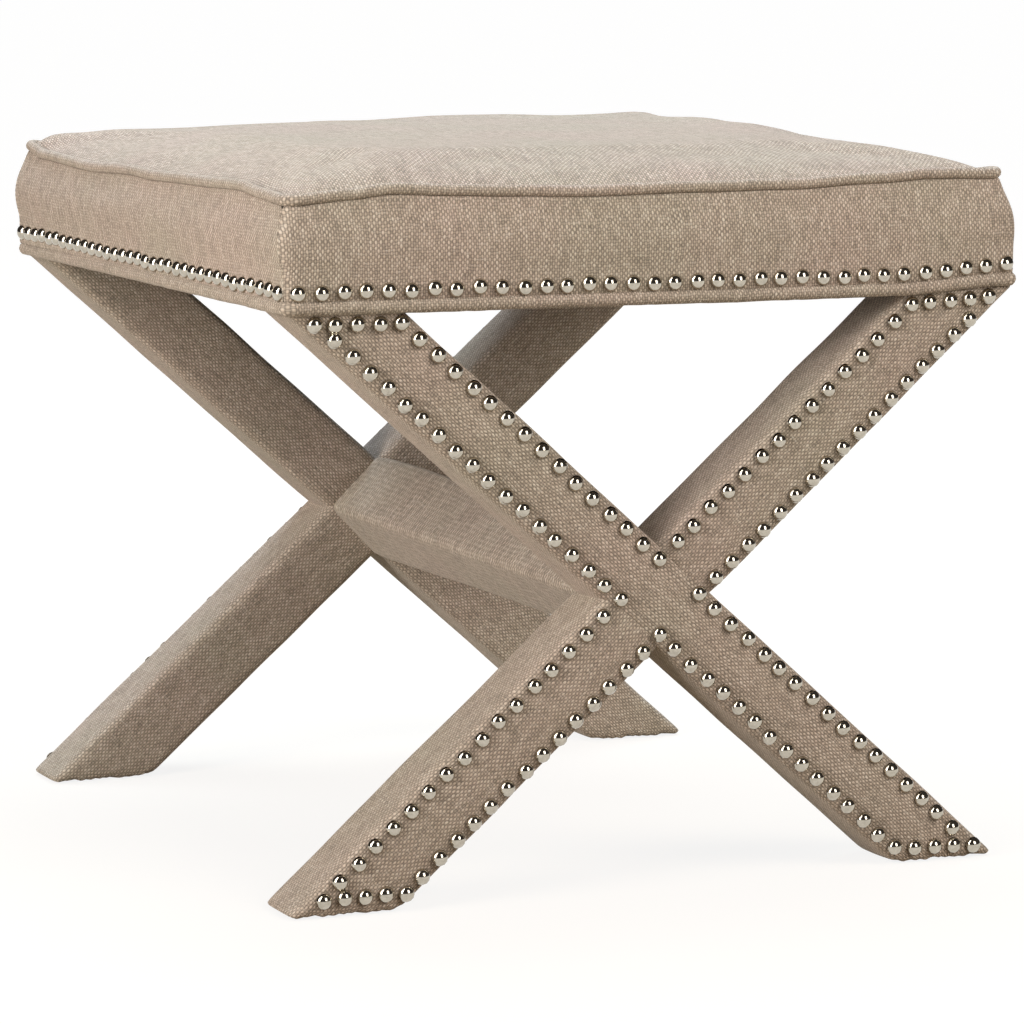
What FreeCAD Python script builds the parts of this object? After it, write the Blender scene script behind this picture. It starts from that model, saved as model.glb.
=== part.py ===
import FreeCAD, Part
import math
import os
from FreeCAD import Vector

# Square ottoman on two crossed-leg frames: linen covers, dome nails, hardwood inside.
# Millimetres. Origin on the floor under the middle of the seat. X runs along the crossed
# frames, Y along the stretcher, Z up. The front frame is at -Y.

# Seat, measured over the lower welt
seat_width = 508.0
seat_depth = 508.0
seat_underside = 371.0
lower_welt_diameter = 9.0
upper_welt_diameter = 6.5
welt_proud = 3.0                 # lower welt beyond the nail strip
nail_strip_height = 18.0         # flat foot of the boxing, which takes the nails
boxing_height = 62.5             # lower welt to the seam under the upper welt
boxing_bulge = 2.5               # boxing beyond the nail strip, at its fullest
boxing_bulge_level = 36.0        # height of the fullest line above the lower welt
boxing_draw_in = 8.0             # seam behind the nail strip
crown_height = 24.0              # middle of the top panel above the seam
crown_power = 5.0                # higher is flatter in the middle and fuller at the edge
strip_corner_radius = 5.0
seam_corner_radius = 16.0
upper_welt_lean = 55.0           # degrees above level, seam to middle of the upper welt
fabric_thickness = 1.2
seat_fit = 0.2                   # clearance of cords and cloth in the seat

# Seat frame
rail_width = 45.0
rail_height = 30.0
rail_lip_setback = 2.0           # upper part of the rails behind the nail strip
deck_thickness = 9.0
rail_dowel_diameter = 8.0
rail_dowel_length = 40.0
rail_dowel_spacing = 22.0
deck_screw_diameter = 4.0
deck_screw_head = 8.0
deck_screw_bite = 20.0
deck_screw_pitch = 120.0
deck_screws_per_rail = 3
dust_cover_thickness = 0.6
dust_cover_margin = 4.0          # inside the rails' outer faces
dust_cover_notch_fit = 0.5

# Crossed frames
frame_side_setback = 2.0         # frame ends behind the nail strip, along X
leg_face_width = 50.0
leg_depth = 48.0
leg_edge_radius = 5.0
leg_wadding_thickness = 2.0
arm_dowel_diameter = 8.0
arm_dowel_bite = 25.0            # into each arm, beyond the through leg
arm_dowel_spacing = 20.0

# Stretcher and its fixings
stretcher_bolt_bite = 70.0
stretcher_dowel_diameter = 10.0
stretcher_dowel_bite = 28.0      # into the stretcher
stretcher_dowel_leg_bite = 12.0  # into the through leg
stretcher_dowel_spacing = 28.0

# Bolts and leg screws
bolt_diameter = 8.0
bolt_head_flats = 13.0
bolt_head_height = 5.5
washer_diameter = 18.0
washer_thickness = 1.6
counterbore_diameter = 20.0
counterbore_depth = 9.0
leg_screw_bite = 22.0
leg_screw_edge = 11.0            # from the deep end of the leg's top
leg_screw_spacing = 22.0
hole_fit = 0.1                   # on the diameter of bolts, screws, dowels and nails

# Dome nails
nail_head_diameter = 9.5
nail_head_height = 3.6
nail_shank_diameter = 1.8
nail_shank_length = 12.0
nail_point_length = 2.5
seat_nail_pitch = 14.7
seat_nail_corner = 6.0           # first nail of the front and back rows from the strip's corner
side_nail_corner = 13.5          # same for the side rows, past the points of those nails
seat_nail_above_welt = 1.3       # nail head above the lower welt
leg_nail_pitch = 15.2
leg_nail_inset = 7.0             # nails from the leg's edges
leg_nail_end_inset = 7.0         # end rows from the leg's ends

# Glides
glide_diameter = 24.0
glide_thickness = 2.0
glide_pin_diameter = 3.0
glide_pin_length = 14.0

# Sampling of the soft forms
bulge_sections = 6
crown_sections = 7
crown_roundness = 0.8            # growth of the corner radius towards the middle
crown_corner_limit = 0.85        # corner radius as a share of a crown section's half width
least_corner_radius = 1.0
cut_margin = 20.0

# Levels and reaches worked out from the sizes above
strip_half_x = seat_width / 2 - welt_proud
strip_half_y = seat_depth / 2 - welt_proud
strip_bottom = seat_underside + lower_welt_diameter + seat_fit
strip_top = strip_bottom + nail_strip_height
seam_level = strip_bottom + boxing_height
rail_half_x = seat_width / 2 - lower_welt_diameter - seat_fit
rail_half_y = seat_depth / 2 - lower_welt_diameter - seat_fit
lip_half_x = strip_half_x - rail_lip_setback
lip_half_y = strip_half_y - rail_lip_setback
padding_depth = strip_half_x - rail_half_x
rail_top = seat_underside + rail_height
deck_top = rail_top + deck_thickness

frame_half_x = strip_half_x - frame_side_setback
frame_outer_y = strip_half_y
frame_inner_y = frame_outer_y - leg_depth
frame_mid_y = (frame_outer_y + frame_inner_y) / 2
foot_level = glide_thickness
leg_rise = seat_underside - foot_level
cross_level = foot_level + leg_rise / 2
frame_diagonal = math.hypot(leg_rise, 2 * frame_half_x)
leg_angle = math.atan2(leg_rise, 2 * frame_half_x) + math.asin(leg_face_width / frame_diagonal)
leg_core_inset = fabric_thickness + leg_wadding_thickness

Z_AXIS = Vector(0, 0, 1)
Y_AXIS = Vector(0, 1, 0)


def rounded_outline(half_x, half_y, radius, level):
    """Rectangle with round corners, as four lines and four quarter arcs."""
    corner = radius * (1 - math.sqrt(0.5))
    edges = []
    for turn in range(4):
        along, across = (half_x, half_y) if turn % 2 == 0 else (half_y, half_x)
        points = [
            Vector(-along + radius, -across, level),
            Vector(along - radius, -across, level),
            Vector(along - corner, -across + corner, level),
            Vector(along, -across + radius, level),
        ]
        spin = FreeCAD.Rotation(Z_AXIS, 90 * turn)
        points = [spin.multVec(point) for point in points]
        edges.append(Part.LineSegment(points[0], points[1]).toShape())
        edges.append(Part.Arc(points[1], points[2], points[3]).toShape())
    return Part.Wire(edges)


def rounded_block(half_x, half_y, radius, low, high):
    face = Part.Face(rounded_outline(half_x, half_y, radius, low))
    return face.extrude(Vector(0, 0, high - low))


def block(low, high):
    size = high - low
    return Part.makeBox(size.x, size.y, size.z, low)


def rod(diameter, start, direction, length):
    return Part.makeCylinder(diameter / 2, length, start, direction)


def corner_radius(radius, offset):
    return max(radius - offset, least_corner_radius)


def bulge_profile():
    """Setback and level of points on the arc from the nail strip to the seam."""
    low = Vector(0, strip_top, 0)
    full = Vector(-boxing_bulge, strip_bottom + boxing_bulge_level, 0)
    seam = Vector(boxing_draw_in, seam_level, 0)
    arc = Part.Arc(low, full, seam).toShape()
    return [(point.x, point.y) for point in arc.discretize(bulge_sections)]


def crown_profile():
    """Setback from the seam and rise above it, closer together at the edge."""
    reach = min(strip_half_x, strip_half_y) - boxing_draw_in
    steps = [(step / crown_sections) ** 2 for step in range(crown_sections)]
    return [(share * reach, crown_height * (1 - (1 - share) ** crown_power)) for share in steps]


def boxing_core(offset):
    """Seat volume from the nail strip's foot to the seam, set in by offset."""
    half_x = strip_half_x - offset
    half_y = strip_half_y - offset
    radius = corner_radius(strip_corner_radius, offset)
    strip = rounded_block(half_x, half_y, radius, strip_bottom, strip_top)
    squeeze = (seam_level - offset - strip_top) / (seam_level - strip_top)
    sections = []
    for setback, level in bulge_profile():
        share = (level - strip_top) / (seam_level - strip_top)
        radius = strip_corner_radius + share * (seam_corner_radius - strip_corner_radius)
        sections.append(rounded_outline(half_x - setback, half_y - setback, corner_radius(radius, offset),
                                        strip_top + (level - strip_top) * squeeze))
    bulge = Part.makeLoft(sections, True, False)
    return strip.fuse(bulge)


def crown_core(offset):
    """Crowned volume above the seam, set in and lowered by offset."""
    half_x = strip_half_x - boxing_draw_in - offset
    half_y = strip_half_y - boxing_draw_in - offset
    sections = []
    for setback, rise in crown_profile():
        radius = corner_radius(seam_corner_radius, offset) + crown_roundness * setback
        radius = min(radius, crown_corner_limit * (min(half_x, half_y) - setback))
        level = seam_level - offset + rise
        sections.append(rounded_outline(half_x - setback, half_y - setback, radius, level))
    return Part.makeLoft(sections, True, False)


def side_sector(turn):
    """Prism that takes the boxing of one side, mitred at the corners."""
    along, across = (strip_half_x, strip_half_y) if turn % 2 == 0 else (strip_half_y, strip_half_x)
    outer = cut_margin
    inner = 3 * cut_margin
    corners = [(-along - outer, -across - outer), (along + outer, -across - outer),
               (along - inner, -across + inner), (-along + inner, -across + inner)]
    points = [Vector(x, y, seat_underside) for x, y in corners]
    face = Part.Face(Part.makePolygon(points + points[:1]))
    prism = face.extrude(Vector(0, 0, boxing_height + 2 * cut_margin))
    prism.rotate(Vector(0, 0, 0), Z_AXIS, 90 * turn)
    return prism


def welt_ring(half_x, half_y, radius, level, diameter):
    """Closed cord along a rounded rectangle."""
    path = rounded_outline(half_x, half_y, radius, level)
    middle = Vector(0, -half_y, level)
    section = Part.Wire(Part.makeCircle(diameter / 2, middle, Vector(1, 0, 0)))
    start = Part.Wire([Part.LineSegment(middle, Vector(half_x - radius, -half_y, level)).toShape()]
                      + path.Edges[1:]
                      + [Part.LineSegment(Vector(-half_x + radius, -half_y, level), middle).toShape()])
    return start.makePipeShell([section], True, True)


def dome_nail():
    """One nail along +Z, its head's flat underside at the origin."""
    rim = nail_head_diameter / 2
    shank = nail_shank_diameter / 2
    dome_radius = (rim ** 2 + nail_head_height ** 2) / (2 * nail_head_height)
    half_angle = math.asin(rim / dome_radius) / 2
    rise = nail_head_height - dome_radius
    points = [
        Vector(0, 0, -nail_shank_length),
        Vector(shank, 0, -nail_shank_length + nail_point_length),
        Vector(shank, 0, 0),
        Vector(rim, 0, 0),
        Vector(dome_radius * math.sin(half_angle), 0, rise + dome_radius * math.cos(half_angle)),
        Vector(0, 0, nail_head_height),
    ]
    edges = [Part.LineSegment(points[i], points[i + 1]).toShape() for i in range(3)]
    edges.append(Part.Arc(points[3], points[4], points[5]).toShape())
    edges.append(Part.LineSegment(points[5], points[0]).toShape())
    return Part.Face(Part.Wire(edges)).revolve(Vector(0, 0, 0), Z_AXIS, 360)


NAIL = dome_nail()


def nail_at(place, outward):
    nail = NAIL.copy()
    nail.Placement = FreeCAD.Placement(place, FreeCAD.Rotation(Z_AXIS, outward))
    return nail


def nail_hole(place, outward):
    length = nail_shank_length + hole_fit
    return rod(nail_shank_diameter + hole_fit, place - outward * length, outward, length + cut_margin)


def drill(shape, holes):
    return shape.cut(holes) if holes else shape


def hex_bolt(place, direction, length):
    """Hex head at place, shank running along direction."""
    across = bolt_head_flats / math.sqrt(3)
    spin = FreeCAD.Rotation(Z_AXIS, direction)
    turns = [math.radians(60 * i) for i in range(7)]
    corners = [Vector(across * math.cos(turn), across * math.sin(turn), 0) for turn in turns]
    outline = Part.makePolygon([place + spin.multVec(corner) for corner in corners])
    head = Part.Face(outline).extrude(direction * -bolt_head_height)
    return head.fuse(rod(bolt_diameter, place, direction, length)).removeSplitter()


def washer(place, direction):
    disc = rod(washer_diameter, place, direction, washer_thickness)
    return disc.cut(rod(bolt_diameter + hole_fit, place, direction, washer_thickness))


def leg_point(along, across, side):
    """Point on a frame's face, from the crossing: along a leg, then across it."""
    run = Vector(side * math.cos(leg_angle), 0, -math.sin(leg_angle))
    square = Vector(side * math.sin(leg_angle), 0, math.cos(leg_angle))
    return Vector(0, 0, cross_level) + run * along + square * across


def leg_bar(inset, side, low, high):
    """Slanted bar of the front frame, set in on all four faces, cut level at both ends.
    side 1 runs from upper left to lower right, side -1 the other way."""
    half_face = leg_face_width / 2 - inset
    half_depth = leg_depth / 2 - inset
    radius = corner_radius(leg_edge_radius, inset)
    reach = leg_rise
    outline = rounded_outline(half_face, half_depth, radius, -reach)
    bar = Part.Face(outline).extrude(Vector(0, 0, 2 * reach))
    tilt = FreeCAD.Rotation(Y_AXIS, side * (90 + math.degrees(leg_angle)))
    bar.Placement = FreeCAD.Placement(Vector(0, -frame_mid_y, cross_level), tilt)
    slab = block(Vector(-seat_width, -seat_depth, low), Vector(seat_width, seat_depth, high))
    return bar.common(slab)


def stretcher_bar(inset, end_y):
    """Diamond bar whose edges meet the four crotches of the crossing."""
    half_face = leg_face_width / 2 - inset
    half_width = half_face / math.sin(leg_angle)
    half_height = half_face / math.cos(leg_angle)
    corners = [(half_width, 0), (0, half_height), (-half_width, 0), (0, -half_height)]
    points = [Vector(x, -end_y, cross_level + z) for x, z in corners]
    bar = Part.Face(Part.makePolygon(points + points[:1])).extrude(Vector(0, 2 * end_y, 0))
    long_edges = [edge for edge in bar.Edges if abs(edge.tangentAt(edge.FirstParameter).y) > 0.99]
    return bar.makeFillet(corner_radius(leg_edge_radius, inset), long_edges)


def spaced(start, end, pitch):
    """Evenly spaced points from start to end, both included."""
    count = max(1, round(start.distanceToPoint(end) / pitch))
    return [start + (end - start) * (i / count) for i in range(count + 1)]


def frame_nail_places():
    """Nails round the outline of the front frame's face, by the cover that they go through."""
    across = leg_face_width / 2 - leg_nail_inset
    end_rise = leg_rise / 2 - leg_nail_end_inset
    slope = math.tan(leg_angle)
    places = {"through": [], "upper": [], "lower": []}
    for side in (1, -1):
        for end in (1, -1):
            corners = []
            for edge in (1, -1):
                reach = (end_rise * end + edge * across * math.cos(leg_angle)) / math.sin(leg_angle)
                tip = leg_point(reach, edge * across, side)
                turn = across / slope if edge == end else across * slope
                row = spaced(tip, leg_point(end * turn, edge * across, side), leg_nail_pitch)
                corners.append(tip)
                name = "through" if side == 1 else ("lower" if end == 1 else "upper")
                places[name] += row[1:] if side == 1 else row[1:-1]
            places[name] += spaced(corners[0], corners[1], leg_nail_pitch)
    face = Vector(0, -frame_outer_y, 0)
    return {name: [place + face for place in found] for name, found in places.items()}


parts = {}

# Seat cloth, wadding and foam: one form, set in layer by layer
outer_boxing = boxing_core(0)
outer_crown = crown_core(0)
cloth_back = boxing_core(fabric_thickness).fuse(crown_core(fabric_thickness))
padding_back = boxing_core(padding_depth).fuse(crown_core(padding_depth))
boxing = outer_boxing.cut(cloth_back)
parts["seat_top_panel"] = outer_crown.cut(cloth_back)
above_deck = block(Vector(-seat_width, -seat_depth, deck_top), Vector(seat_width, seat_depth, seam_level * 2))
parts["seat_foam"] = padding_back.common(above_deck)

rail_corner_radius = corner_radius(strip_corner_radius, padding_depth)
welt_reach = upper_welt_diameter / 2 + seat_fit
welt_out = welt_reach * math.cos(math.radians(upper_welt_lean))
welt_up = welt_reach * math.sin(math.radians(upper_welt_lean))
seam_half_x = strip_half_x - boxing_draw_in
seam_half_y = strip_half_y - boxing_draw_in
parts["upper_welt"] = welt_ring(seam_half_x + welt_out, seam_half_y + welt_out, seam_corner_radius + welt_out,
                                seam_level + welt_up, upper_welt_diameter)
welt_from_rail = lower_welt_diameter / 2 + seat_fit
parts["lower_welt"] = welt_ring(rail_half_x + welt_from_rail, rail_half_y + welt_from_rail,
                                rail_corner_radius + welt_from_rail,
                                seat_underside + lower_welt_diameter / 2 + seat_fit / 2, lower_welt_diameter)

# Hardwood rails, rebated for the lower welt: front and back run through, left and right butt between them
rail_foot = rounded_block(rail_half_x, rail_half_y, rail_corner_radius, seat_underside, rail_top)
rail_lip = rounded_block(lip_half_x, lip_half_y, corner_radius(strip_corner_radius, rail_lip_setback),
                         strip_bottom, rail_top)
rail_blank = rail_foot.fuse(rail_lip).removeSplitter()
wadding = cloth_back.cut([padding_back, rail_lip])
inner_x = rail_half_x - rail_width
inner_y = rail_half_y - rail_width
rails = {}
for name, sign in (("front_rail", -1), ("back_rail", 1)):
    near, far = sorted((sign * inner_y, sign * seat_depth))
    take = block(Vector(-seat_width, near, seat_underside), Vector(seat_width, far, rail_top))
    rails[name] = rail_blank.common(take)
for name, sign in (("left_rail", -1), ("right_rail", 1)):
    near, far = sorted((sign * inner_x, sign * seat_width))
    take = block(Vector(near, -inner_y, seat_underside), Vector(far, inner_y, rail_top))
    rails[name] = rail_blank.common(take)

rail_mid_x = rail_half_x - rail_width / 2
rail_mid_y = rail_half_y - rail_width / 2
rail_level = seat_underside + rail_height / 2
dowels = []
dowel_holes = []
for x_sign in (-1, 1):
    for y_sign in (-1, 1):
        for shift in (-rail_dowel_spacing / 2, rail_dowel_spacing / 2):
            start = Vector(x_sign * rail_mid_x + shift, y_sign * inner_y - rail_dowel_length / 2, rail_level)
            dowels.append(rod(rail_dowel_diameter, start, Y_AXIS, rail_dowel_length))
            dowel_holes.append(rod(rail_dowel_diameter + hole_fit, start, Y_AXIS, rail_dowel_length))
parts["rail_dowels"] = Part.Compound(dowels)

# Deck, and the countersunk screws that hold it to the rails
deck = rounded_block(rail_half_x, rail_half_y, rail_corner_radius, rail_top, deck_top)
screw_places = []
for i in range(deck_screws_per_rail):
    shift = (i - (deck_screws_per_rail - 1) / 2) * deck_screw_pitch
    for sign in (-1, 1):
        screw_places.append(Vector(shift, sign * rail_mid_y, deck_top))
        screw_places.append(Vector(sign * rail_mid_x, shift, deck_top))
head_depth = (deck_screw_head - deck_screw_diameter) / 2
deck_screws = []
deck_holes = []
for place in screw_places:
    for grow, found in ((0, deck_screws), (hole_fit, deck_holes)):
        length = deck_thickness + deck_screw_bite
        shank = rod(deck_screw_diameter + grow, place, Vector(0, 0, -1), length)
        head = Part.makeCone((deck_screw_head + grow) / 2, (deck_screw_diameter + grow) / 2, head_depth,
                             place, Vector(0, 0, -1))
        found.append(shank.fuse(head).removeSplitter())
parts["deck_screws"] = Part.Compound(deck_screws)
parts["seat_deck"] = drill(deck, deck_holes)

# Crossed frames, made at the front and turned round for the rear
main_outer = leg_bar(0, 1, foot_level, seat_underside)
main_lining = leg_bar(fabric_thickness, 1, foot_level + fabric_thickness, seat_underside)
main_core = leg_bar(leg_core_inset, 1, foot_level + fabric_thickness, seat_underside)
cross_outer = leg_bar(0, -1, foot_level, seat_underside)
cross_lining = leg_bar(fabric_thickness, -1, foot_level + fabric_thickness, seat_underside)
cross_core = leg_bar(leg_core_inset, -1, foot_level + fabric_thickness, seat_underside)
core_inner_y = frame_inner_y + leg_core_inset
stretcher_core = stretcher_bar(leg_core_inset, core_inner_y)

arms = {}
levels = {"upper": (cross_level, seat_underside), "lower": (0, cross_level)}
for name, (low, high) in levels.items():
    half = block(Vector(-seat_width, -seat_depth, low), Vector(seat_width, seat_depth, high))
    arms[name] = {
        "cover": cross_outer.cut([cross_lining, main_outer, stretcher_core]).common(half),
        "wadding": cross_lining.cut([cross_core, main_outer, stretcher_core]).common(half),
        "core": cross_core.cut(main_core).common(half),
    }
legs = {
    "through": {
        "cover": main_outer.cut([main_lining, cross_core, stretcher_core]),
        "wadding": main_lining.cut([main_core, cross_core, stretcher_core]),
        "core": main_core,
    },
    "upper": arms["upper"],
    "lower": arms["lower"],
}

# Dowels through the through leg and into both arms, either side of the stretcher's bolt
core_half_face = leg_face_width / 2 - leg_core_inset
across_leg = (leg_point(0, 1, 1) - leg_point(0, 0, 1)).normalize()
leg_run = (leg_point(1, 0, 1) - leg_point(0, 0, 1)).normalize()
arm_dowel_length = 2 * (core_half_face + arm_dowel_bite)
arm_dowels = []
arm_dowel_holes = []
for sign in (-1, 1):
    middle = Vector(0, -frame_mid_y, cross_level) + leg_run * (sign * arm_dowel_spacing / 2)
    start = middle - across_leg * (arm_dowel_length / 2)
    arm_dowels.append(rod(arm_dowel_diameter, start, across_leg, arm_dowel_length))
    arm_dowel_holes.append(rod(arm_dowel_diameter + hole_fit, start, across_leg, arm_dowel_length))

# Bolt and dowels from the through leg into the stretcher's end
core_outer_y = frame_outer_y - leg_core_inset
bolt_seat = Vector(0, -core_outer_y + counterbore_depth, cross_level)
bolt_length = core_outer_y - counterbore_depth - core_inner_y + stretcher_bolt_bite + washer_thickness
bolt = hex_bolt(bolt_seat - Y_AXIS * washer_thickness, Y_AXIS, bolt_length)
bolt_washer = washer(bolt_seat - Y_AXIS * washer_thickness, Y_AXIS)
bolt_holes = [
    rod(bolt_diameter + hole_fit, bolt_seat, Y_AXIS, bolt_length - washer_thickness),
    rod(counterbore_diameter, bolt_seat, Y_AXIS * -1, counterbore_depth),
]
end_dowels = []
end_dowel_holes = []
end_dowel_length = stretcher_dowel_leg_bite + stretcher_dowel_bite
for sign in (-1, 1):
    start = Vector(0, -core_inner_y - stretcher_dowel_leg_bite, cross_level)
    start = start + leg_run * (sign * stretcher_dowel_spacing / 2)
    end_dowels.append(rod(stretcher_dowel_diameter, start, Y_AXIS, end_dowel_length))
    end_dowel_holes.append(rod(stretcher_dowel_diameter + hole_fit, start, Y_AXIS, end_dowel_length))

# Screws down through the rails into the tops of the legs
core_half_cut = core_half_face / math.sin(leg_angle)
leg_top_x = (seat_underside - cross_level) / math.tan(leg_angle)
screw_seat = rail_top - counterbore_depth
leg_screw_length = rail_height - counterbore_depth + leg_screw_bite + washer_thickness
leg_screws = []
leg_washers = []
leg_screw_holes = []
for sign in (-1, 1):
    for shift in (0, leg_screw_spacing):
        x = sign * (leg_top_x - core_half_cut + leg_screw_edge + shift)
        place = Vector(x, -frame_mid_y, screw_seat)
        raised = place + Z_AXIS * washer_thickness
        leg_screws.append(hex_bolt(raised, Z_AXIS * -1, leg_screw_length))
        leg_washers.append(washer(raised, Z_AXIS * -1))
        shank_length = leg_screw_length - washer_thickness
        leg_screw_holes.append(rod(bolt_diameter + hole_fit, place, Z_AXIS * -1, shank_length))
        leg_screw_holes.append(rod(counterbore_diameter, place, Z_AXIS, counterbore_depth))

# Glides pinned under the feet
foot_x = (cross_level - foot_level) / math.tan(leg_angle)
glides = {}
glide_holes = []
for name, sign in (("left", -1), ("right", 1)):
    place = Vector(sign * foot_x, -frame_mid_y, 0)
    disc = rod(glide_diameter, place, Z_AXIS, glide_thickness)
    pin = rod(glide_pin_diameter, place, Z_AXIS, glide_thickness + glide_pin_length)
    glides[name] = disc.fuse(pin)
    glide_holes.append(rod(glide_pin_diameter + hole_fit, place, Z_AXIS, glide_thickness + glide_pin_length))

# Nails through each cover and its wadding into the wood
frame_nails = []
for name, places in frame_nail_places().items():
    outward = Y_AXIS * -1
    frame_nails += [nail_at(place, outward) for place in places]
    holes = [nail_hole(place, outward) for place in places] + glide_holes
    for layer in ("cover", "wadding", "core"):
        more = []
        if layer == "core":
            more = arm_dowel_holes + leg_screw_holes
            if name == "through":
                more = more + bolt_holes + end_dowel_holes
        legs[name][layer] = drill(legs[name][layer], holes + more)


def rear(shape):
    turned = shape.copy()
    turned.rotate(Vector(0, 0, 0), Z_AXIS, 180)
    return turned


node_names = {"through": "through_leg", "upper": "upper_arm", "lower": "lower_arm"}
for name, layers in legs.items():
    for layer, shape in layers.items():
        parts["front_%s_%s" % (node_names[name], layer)] = shape
        parts["rear_%s_%s" % (node_names[name], layer)] = rear(shape)
parts["front_arm_dowels"] = Part.Compound(arm_dowels)
parts["rear_arm_dowels"] = rear(parts["front_arm_dowels"])
parts["front_frame_nails"] = Part.Compound(frame_nails)
parts["rear_frame_nails"] = rear(parts["front_frame_nails"])
for name, opposite in (("left", "right"), ("right", "left")):
    parts["front_%s_glide" % name] = glides[name]
    parts["rear_%s_glide" % opposite] = rear(glides[name])
parts["leg_screws"] = Part.Compound(leg_screws + [rear(shape) for shape in leg_screws])
parts["leg_screw_washers"] = Part.Compound(leg_washers + [rear(shape) for shape in leg_washers])
parts["stretcher_bolts"] = Part.Compound([bolt, rear(bolt)])
parts["stretcher_bolt_washers"] = Part.Compound([bolt_washer, rear(bolt_washer)])
parts["stretcher_dowels"] = Part.Compound(end_dowels + [rear(shape) for shape in end_dowels])

# Stretcher
stretcher_lining = stretcher_bar(fabric_thickness, frame_inner_y)
fixing_holes = bolt_holes + end_dowel_holes
parts["stretcher_core"] = drill(stretcher_core, fixing_holes + [rear(hole) for hole in fixing_holes])
parts["stretcher_wadding"] = stretcher_lining.cut(stretcher_core)
parts["stretcher_cover"] = stretcher_bar(0, frame_inner_y).cut(stretcher_lining)

# Seat nails along the strip of each side
nail_level = strip_bottom + seat_nail_above_welt + nail_head_diameter / 2
side_holes = []
for turn, side in enumerate(("front", "right", "back", "left")):
    along, across = (strip_half_x, strip_half_y) if turn % 2 == 0 else (strip_half_y, strip_half_x)
    spin = FreeCAD.Rotation(Z_AXIS, 90 * turn)
    outward = spin.multVec(Y_AXIS * -1)
    reach = along - (seat_nail_corner if turn % 2 == 0 else side_nail_corner)
    row = spaced(Vector(-reach, -across, nail_level), Vector(reach, -across, nail_level), seat_nail_pitch)
    row = [spin.multVec(place) for place in row]
    holes = [nail_hole(place, outward) for place in row]
    side_holes += holes
    parts["seat_%s_nails" % side] = Part.Compound([nail_at(place, outward) for place in row])
    parts["boxing_%s" % side] = drill(boxing.common(side_sector(turn)), holes)
parts["seat_wadding"] = drill(wadding, side_holes)

rail_cuts = dowel_holes + deck_holes + leg_screw_holes + [rear(hole) for hole in leg_screw_holes]
for name, rail in rails.items():
    parts[name] = drill(rail, rail_cuts + side_holes)

# Dust cover under the rails, notched round the legs
sheet_low = seat_underside - dust_cover_thickness
sheet = block(Vector(-rail_half_x + dust_cover_margin, -rail_half_y + dust_cover_margin, sheet_low),
              Vector(rail_half_x - dust_cover_margin, rail_half_y - dust_cover_margin, seat_underside))
half_cut = leg_face_width / 2 / math.sin(leg_angle) + dust_cover_notch_fit
notches = []
for x_sign in (-1, 1):
    for y_sign in (-1, 1):
        middle = Vector(x_sign * leg_top_x, y_sign * frame_mid_y, sheet_low)
        spread = Vector(half_cut + dust_cover_thickness, leg_depth / 2 + dust_cover_notch_fit, 0)
        notches.append(block(middle - spread, middle + spread + Z_AXIS * dust_cover_thickness))
parts["dust_cover"] = sheet.cut(notches)

os.makedirs("parts", exist_ok=True)
for name, shape in sorted(parts.items()):
    print("%-26s %3d" % (name, len(shape.Solids)))
    shape.exportStep("parts/%s.step" % name)
print("nodes", len(parts), "leg angle", round(math.degrees(leg_angle), 3), "foot x", round(foot_x, 3),
      "frame middle y", round(frame_mid_y, 3))
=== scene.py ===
import bpy
import bmesh
import math
import random
from mathutils import Matrix, Vector, noise


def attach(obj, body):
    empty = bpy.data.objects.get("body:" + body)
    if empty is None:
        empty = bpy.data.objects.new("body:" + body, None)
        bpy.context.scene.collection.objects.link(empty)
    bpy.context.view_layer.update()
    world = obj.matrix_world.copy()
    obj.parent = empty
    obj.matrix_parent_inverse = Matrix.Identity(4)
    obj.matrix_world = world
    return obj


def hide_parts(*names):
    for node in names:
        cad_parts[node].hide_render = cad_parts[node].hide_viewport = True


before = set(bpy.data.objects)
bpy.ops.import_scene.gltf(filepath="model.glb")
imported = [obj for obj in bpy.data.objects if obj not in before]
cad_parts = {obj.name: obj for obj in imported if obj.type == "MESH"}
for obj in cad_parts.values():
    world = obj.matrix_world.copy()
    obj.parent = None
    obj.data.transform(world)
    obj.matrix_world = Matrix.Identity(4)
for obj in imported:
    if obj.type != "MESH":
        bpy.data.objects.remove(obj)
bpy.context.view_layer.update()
print("frame loaded:", len(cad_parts), "nodes")

mm = 0.001
close = 0.1 * mm
touching = 0.01 * mm
scene = bpy.context.scene
scene.view_settings.view_transform = "Standard"


# Small helpers for modelling by hand

def deselectAll():
    if bpy.context.object and bpy.context.object.mode != "OBJECT":
        bpy.ops.object.mode_set(mode="OBJECT")
    bpy.ops.object.select_all(action="DESELECT")


def rename(piece, name):
    piece.name = name
    piece.data.name = name
    return piece


def namePiece(name):
    return rename(bpy.context.object, name)


def makeActive(piece):
    deselectAll()
    piece.select_set(True)
    bpy.context.view_layer.objects.active = piece


def choose(piece, kind, test):  # edit mode, with what passes the test selected
    bpy.ops.object.mode_set(mode="EDIT")
    bpy.ops.mesh.select_mode(type=kind)
    bpy.ops.mesh.select_all(action="DESELECT")
    cage = bmesh.from_edit_mesh(piece.data)
    items = {"VERT": cage.verts, "EDGE": cage.edges, "FACE": cage.faces}[kind]
    for item in items:
        if test(item):
            item.select_set(True)
    bmesh.update_edit_mesh(piece.data)


def cutAway(piece, place, outward):  # everything on the outward side goes, and the cut is filled
    choose(piece, "FACE", lambda face: True)
    bpy.ops.mesh.bisect(plane_co=place, plane_no=outward, use_fill=True, clear_outer=True)
    bpy.ops.object.mode_set(mode="OBJECT")


def applyModifier(piece, kind, **settings):
    makeActive(piece)
    modifier = piece.modifiers.new(kind.lower(), kind)
    for key, value in settings.items():
        setattr(modifier, key, value)
    bpy.ops.object.modifier_apply(modifier=modifier.name)


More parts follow.
